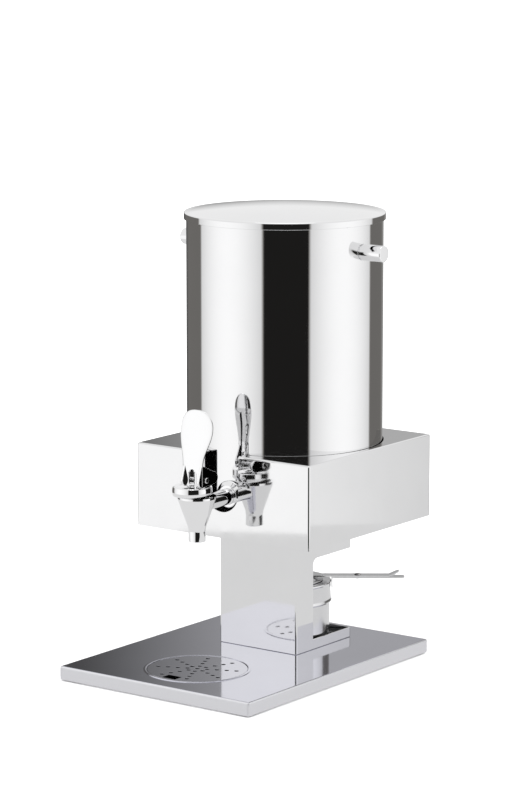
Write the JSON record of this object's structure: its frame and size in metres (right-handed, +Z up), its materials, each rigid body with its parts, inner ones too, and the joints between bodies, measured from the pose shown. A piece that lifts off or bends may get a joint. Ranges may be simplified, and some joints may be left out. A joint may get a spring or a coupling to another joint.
{
  "type": "hot drinks dispenser",
  "caption": "Lidded drinks container with a lever tap, in a square housing on a folded column over a flat base with a drip bowl and a fuel burner.",
  "frame": {"origin": "middle of the whole footprint, on the surface the feet stand on", "axes": "+Z up, -Y towards the tap and the person being served, +X to the right of that person"},
  "size_m": [0.262, 0.345, 0.49],
  "materials": {
    "mirror_steel": "mirror polished",
    "base_steel": "polished top, satin edge",
    "polished_chrome": "polished",
    "plain_steel": "plain",
    "burner_steel": "bright rolled",
    "black_rubber": "matt",
    "pale_silicone": "matt",
    "fuel_fibre": "matt fibre"
  },
  "bodies": {
    "stand": {"base_plate": "base_steel", "base_stiffener": "plain_steel", "rubber_feet": "black_rubber", "column": "mirror_steel", "column_screws": "plain_steel", "column_nuts": "plain_steel", "burner_dish": "plain_steel", "housing_shell": "mirror_steel", "housing_floor": "plain_steel", "housing_screws": "plain_steel", "housing_nuts": "plain_steel", "seat_ring": "plain_steel"},
    "bowl": {"drip_bowl": "mirror_steel"},
    "grate": {"drip_grate": "mirror_steel"},
    "container": {"container_shell": "mirror_steel", "left_handle": "polished_chrome", "right_handle": "polished_chrome", "handle_screws": "plain_steel", "handle_washers": "black_rubber", "tap_shank": "polished_chrome", "tap_flange": "polished_chrome", "outer_gasket": "black_rubber", "inner_gasket": "black_rubber", "shank_nut": "plain_steel", "tap_body": "polished_chrome", "tap_bonnet": "polished_chrome", "valve_spring": "plain_steel"},
    "lid": {"lid": "mirror_steel", "lid_ring": "mirror_steel"},
    "stem": {"valve_stem": "plain_steel", "seat_cup": "pale_silicone"},
    "lever": {"lever": "polished_chrome", "lever_pin": "plain_steel"},
    "burner": {"burner_can": "burner_steel", "fuel_pad": "fuel_fibre", "burner_ring": "burner_steel", "burner_handle": "burner_steel", "pivot_rivet": "plain_steel"},
    "cover": {"burner_cover": "burner_steel", "cover_lever": "burner_steel", "cover_rivet": "plain_steel"}
  },
  "joints": [
    {"name": "container_lift", "type": "slide", "parent": "stand", "child": "container", "axis": [0, 0, 1], "range_m": [0, 0.1]},
    {"name": "lid_lift", "type": "slide", "parent": "container", "child": "lid", "axis": [0, 0, 1], "range_m": [0, 0.08]},
    {"name": "lever_tilt", "type": "hinge", "parent": "stem", "child": "lever", "pos_m": [0.006, -0.1035, 0.2205], "axis": [1, 0, 0], "range_deg": [0, 35], "stiffness_Nm_per_rad": 0.25, "springref_deg": -20.05},
    {"name": "stem_slide", "type": "slide", "parent": "container", "child": "stem", "axis": [0, 0, 1], "range_m": [0, 0.0045], "deforming": ["valve_spring"]},
    {"name": "bowl_lift", "type": "slide", "parent": "stand", "child": "bowl", "axis": [0, 0, 1], "range_m": [0, 0.04]},
    {"name": "grate_lift", "type": "slide", "parent": "bowl", "child": "grate", "axis": [0, 0, 1], "range_m": [0, 0.04]},
    {"name": "burner_lift", "type": "slide", "parent": "stand", "child": "burner", "axis": [0, 0, 1], "range_m": [0, 0.016]},
    {"name": "cover_swing", "type": "hinge", "parent": "burner", "child": "cover", "pos_m": [0.06148, 0.10917, 0.0858], "axis": [0, 0, 1], "range_deg": [-65, 0]}
  ],
  "couplings": [
    {"joint": "stem_slide", "follows": "lever_tilt", "m_per_rad": 0.0065}
  ]
}
